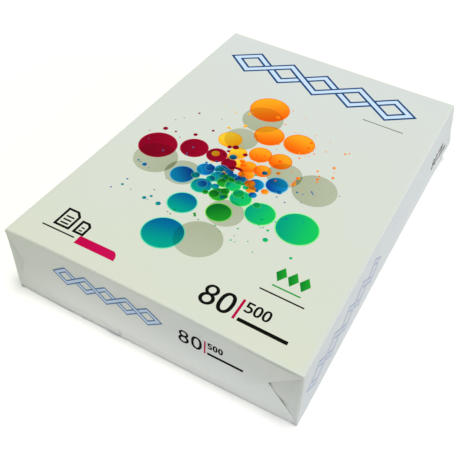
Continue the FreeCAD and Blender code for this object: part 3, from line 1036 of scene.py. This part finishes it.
def triangulate(shapes):
    # Every outline becomes an edge line of one triangle mesh, with grid points between, so
    # that each triangle lies wholly in or out of each shape
    loops = [loop for each in shapes for loop in each["solids"] + each["holes"]]
    edges, count = [], 0
    for loop in loops:
        index = np.arange(len(loop)) + count
        edges.append(np.column_stack((index, np.roll(index, -1))))
        count += len(loop)
    corners = np.vstack(loops)
    low, high = corners.min(0), corners.max(0)
    spacing = film["spacing"]
    grid = np.stack(np.meshgrid(np.arange(low[0], high[0], spacing) + 0.37, np.arange(low[1], high[1], spacing) + 0.41),
        axis=-1).reshape(-1, 2)
    coordinates = [Vector(point) for point in np.vstack((corners, grid)).tolist()]
    points, _, faces, *_ = delaunay_2d_cdt(coordinates, np.vstack(edges).tolist(), [], 0, 1e-5, False)
    faces = np.array([face for face in faces if len(face) == 3])
    points = np.array([tuple(point) for point in points])
    a, b, c = (points[faces[:, k]] for k in range(3))
    area = (b[:, 0] - a[:, 0]) * (c[:, 1] - a[:, 1]) - (b[:, 1] - a[:, 1]) * (c[:, 0] - a[:, 0])
    faces[area < 0] = faces[area < 0][:, ::-1]
    return points, faces[abs(area) > 1e-7]


def inkFaces(shapes):
    # Triangles of a panel with the shape on top of each and the colour at each corner
    points, faces = triangulate(shapes)
    centres = points[faces].mean(1)
    owner = np.full(len(faces), -1)
    colours = np.ones((len(faces), 3, 3))
    for number, each in enumerate(shapes):
        covered = np.zeros(len(faces), bool)
        for loop in each["solids"]:
            covered |= insidePolygon(centres, loop)
        for loop in each["holes"]:
            covered &= ~insidePolygon(centres, loop)
        under = colours[covered]
        share = each["overprint"]
        colours[covered] = each["paint"](points[faces[covered]]) * (1 - share + share * under)
        owner[covered] = number
    return points, faces, owner, colours


def filmPart(points, faces, place):
    # A closed film: the triangles on the outside, the same ones turned over on the wrapper,
    # and a wall along every edge that only one triangle uses
    used, faces = np.unique(faces, return_inverse=True)
    faces = faces.reshape(-1, 3)
    flat = points[used]
    outside = np.stack(np.broadcast_arrays(*place(flat[:, 0], flat[:, 1], film["thickness"])), axis=-1)
    inside = np.stack(np.broadcast_arrays(*place(flat[:, 0], flat[:, 1], 0.0)), axis=-1)
    count = len(used)
    edges = np.vstack([faces[:, [k, (k + 1) % 3]] for k in range(3)])
    key, back = edges @ [count, 1], edges @ [1, count]
    rim = edges[~np.isin(key, back)]
    walls = np.column_stack((rim[:, 1], rim[:, 0], rim[:, 0] + count))
    walls2 = np.column_stack((rim[:, 1], rim[:, 0] + count, rim[:, 1] + count))
    return np.vstack((outside, inside)), np.vstack((faces, faces[:, ::-1] + count, walls, walls2)), rim


def makePrint():
    panels = {
        "top": ribbonShapes(topRibbon) + wheelShapes() + gradeShapes(topGrade) + sizeShapes() + smallMarkShapes(),
        "nearEnd": ribbonShapes(endRibbon) + gradeShapes(endGrade),
        "rightSide": ribbonShapes(sideRibbon) + gradeShapes(sideGrade),
    }
    panels["farEnd"], panels["leftSide"] = panels["nearEnd"], panels["rightSide"]
    worked = {name: inkFaces(shapes) for name, shapes in panels.items()}
    for ink in inkTones:
        points, faces, colours, count = [], [], [], 0
        for name, shapes in panels.items():
            flat, triangles, owner, paint = worked[name]
            wanted = np.array([each["ink"] == ink for each in shapes] + [False])[owner]
            if not wanted.any():
                continue
            part, partFaces, rim = filmPart(flat, triangles[wanted], panelPlaces[name])
            tops = paint[wanted]
            edgePaint = np.broadcast_to(tops.mean((0, 1)), (2 * len(rim), 3, 3))
            points.append(settle(part))
            faces.append(partFaces + count)
            colours.append(np.concatenate((tops, tops[:, ::-1], edgePaint)))
            count += len(part)
        piece = meshPiece("print_" + ink, np.vstack(points), np.vstack(faces), printedInk(ink + "Ink"))
        piece.data.polygons.foreach_set("use_smooth", np.zeros(len(piece.data.polygons), bool))
        layer = piece.data.color_attributes.new(name="inkColour", type="FLOAT_COLOR", domain="CORNER")
        flatColours = np.concatenate(colours).reshape(-1, 3)
        layer.data.foreach_set("color", np.column_stack((flatColours, np.ones(len(flatColours)))).ravel())
        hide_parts("print_" + ink)
        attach(piece, "root")
        print("print:", ink, len(piece.data.polygons), "triangles")


# Floor, light and camera

stage = {"size": 9.0, "floor": "#ffffff"}

lights = {
    "sky": 0.20,  # the same soft light from everywhere
    "skyColour": (0.95, 0.97, 1.10),
    # each lamp: share of light it adds on a face turned to it, where it comes from, how
    # many degrees it spreads over, and its colour
    "lamps": {
        "ceiling": (0.83, (0.05, 0.03, 0.99), 24.0, (0.995, 1.0, 0.88)),
        "window": (0.15, (0.95, 0.1, 0.25), 40.0, (0.99, 0.96, 1.6)),
    },
    # a low strip that throws light up on the near end, as a bright table does
    "table": {"x": 24.0, "wide": 215.0, "tall": 14.0, "before": 42.0, "watts": 0.0108, "colour": (0.99, 0.895, 1.18)},
}

camera = {
    "place": (153.7, -348.5, 358.9),
    "turn": (45.073, -2.598, 29.383),
    "lens": 52.68,
    "film": 36.0,
}


def makeStage():
    size = stage["size"] / 2
    mesh = bpy.data.meshes.new("floor")
    mesh.from_pydata([(-size, -size, 0), (size, -size, 0), (size, size, 0), (-size, size, 0)], [], [(0, 1, 2, 3)])
    floor = bpy.data.objects.new("floor", mesh)
    bpy.context.scene.collection.objects.link(floor)
    material, tree = newTree("whiteSweep")
    shader = addNode(tree, "ShaderNodeBsdfDiffuse", {"Color": (*linear(stage["floor"]), 1)}, {})
    addNode(tree, "ShaderNodeOutputMaterial", {}, {"Surface": shader.outputs[0]})
    mesh.materials.append(material)


def makeLights():
    world = bpy.data.worlds.new("studio")
    bpy.context.scene.world = world
    world.use_nodes = True
    tree = world.node_tree
    tree.nodes.clear()
    path = addNode(tree, "ShaderNodeLightPath", {}, {})
    seen = addNode(tree, "ShaderNodeMath", {"operation": "MAXIMUM"},
        {0: path.outputs["Is Camera Ray"], 1: path.outputs["Is Glossy Ray"]})
    clear = addNode(tree, "ShaderNodeMath", {"operation": "MAXIMUM"},
        {0: seen.outputs[0], 1: path.outputs["Is Transmission Ray"]})
    soft = addNode(tree, "ShaderNodeBackground", {"Color": (*lights["skyColour"], 1), "Strength": lights["sky"]}, {})
    white = addNode(tree, "ShaderNodeBackground", {"Color": (1, 1, 1, 1), "Strength": 1.0}, {})
    mixed = addNode(tree, "ShaderNodeMixShader", {}, {0: clear.outputs[0], 1: soft.outputs[0], 2: white.outputs[0]})
    addNode(tree, "ShaderNodeOutputWorld", {}, {"Surface": mixed.outputs[0]})
    for name, (share, source, spread, colour) in lights["lamps"].items():
        lamp = bpy.data.lights.new(name, "SUN")
        lamp.energy = share * math.pi
        lamp.angle = math.radians(spread)
        lamp.color = colour
        holder = bpy.data.objects.new(name, lamp)
        holder.rotation_euler = Vector(source).to_track_quat("Z", "Y").to_euler()
        bpy.context.scene.collection.objects.link(holder)
    table = lights["table"]
    strip = bpy.data.lights.new("table", "AREA")
    strip.shape = "RECTANGLE"
    strip.size = table["wide"] * metres
    strip.size_y = table["tall"] * metres
    strip.energy = table["watts"]
    strip.color = table["colour"]
    holder = bpy.data.objects.new("table", strip)
    holder.location = Vector((table["x"], -halfLength - table["before"], table["tall"] / 2)) * metres
    holder.rotation_euler = (math.pi / 2, 0, 0)
    holder.visible_camera = False
    holder.visible_glossy = False
    bpy.context.scene.collection.objects.link(holder)


def makeCamera():
    lens = bpy.data.cameras.new("camera")
    lens.sensor_fit = "HORIZONTAL"
    lens.sensor_width = camera["film"]
    lens.lens = camera["lens"]
    holder = bpy.data.objects.new("camera", lens)
    holder.location = Vector(camera["place"]) * metres
    holder.rotation_euler = [math.radians(angle) for angle in camera["turn"]]
    bpy.context.scene.collection.objects.link(holder)
    bpy.context.scene.camera = holder
    bpy.context.scene.view_settings.view_transform = "Standard"


makeWrapper()
makeSheets()
makePrint()
makeStage()
makeLights()
makeCamera()
